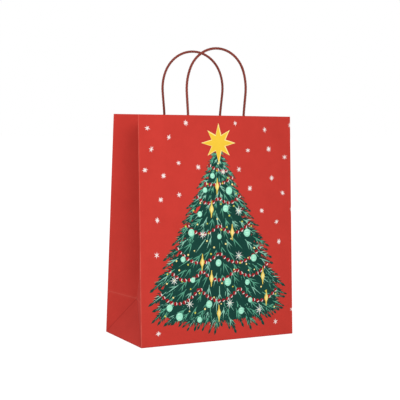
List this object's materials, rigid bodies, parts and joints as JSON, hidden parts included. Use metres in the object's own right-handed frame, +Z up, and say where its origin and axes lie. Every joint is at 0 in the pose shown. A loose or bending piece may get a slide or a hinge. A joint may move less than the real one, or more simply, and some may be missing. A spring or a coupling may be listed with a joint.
{
  "type": "gift bag",
  "caption": "Upright folded paper gift bag with inward-folded gussets, flat glued base and twisted-cord loop handles.",
  "frame": {"origin": "middle of the underside, on the surface the bag stands on", "axes": "+Z up, X across the wide faces, the front face towards -Y and the side seam at +X"},
  "size_m": [0.254, 0.127, 0.4285],
  "materials": {
    "printed_paper": "matt uncoated paper, printed red outside with a decorated tree, plain white inside",
    "patch_paper": "matt white kraft paper",
    "handle_cord": "twisted paper cord dyed dark red, matt",
    "board": "white-lined greyboard, matt"
  },
  "bodies": {
    "bag": {"back_panel": "printed_paper", "bottom_board": "board", "bottom_end_flap_left": "printed_paper", "bottom_end_flap_right": "printed_paper", "bottom_flap_front": "printed_paper", "bottom_flap_rear": "printed_paper", "front_cord_ends": "handle_cord", "front_panel": "printed_paper", "front_patch_backing": "patch_paper", "front_patch_cover": "patch_paper", "left_gusset_front_corner": "printed_paper", "left_gusset_front_leaf": "printed_paper", "left_gusset_rear_corner": "printed_paper", "left_gusset_rear_leaf": "printed_paper", "left_gusset_toe": "printed_paper", "rear_cord_ends": "handle_cord", "rear_patch_backing": "patch_paper", "rear_patch_cover": "patch_paper", "right_gusset_front_corner": "printed_paper", "right_gusset_front_leaf": "printed_paper", "right_gusset_rear_corner": "printed_paper", "right_gusset_rear_leaf": "printed_paper", "right_gusset_toe": "printed_paper", "side_seam_flap": "printed_paper", "top_hem_back": "printed_paper", "top_hem_front": "printed_paper", "top_hem_left_front": "printed_paper", "top_hem_left_rear": "printed_paper", "top_hem_right_front": "printed_paper", "top_hem_right_rear": "printed_paper"},
    "front_handle": {"front_handle": "handle_cord"},
    "rear_handle": {"rear_handle": "handle_cord"}
  },
  "joints": [
    {"name": "front_handle_fold", "type": "hinge", "parent": "bag", "child": "front_handle", "pos_m": [0, -0.04045, 0.33236], "axis": [1, 0, 0], "range_deg": [-89, 105]},
    {"name": "rear_handle_fold", "type": "hinge", "parent": "bag", "child": "rear_handle", "pos_m": [0.0035, 0.04045, 0.33236], "axis": [-1, 0, 0], "range_deg": [-74, 105]}
  ]
}
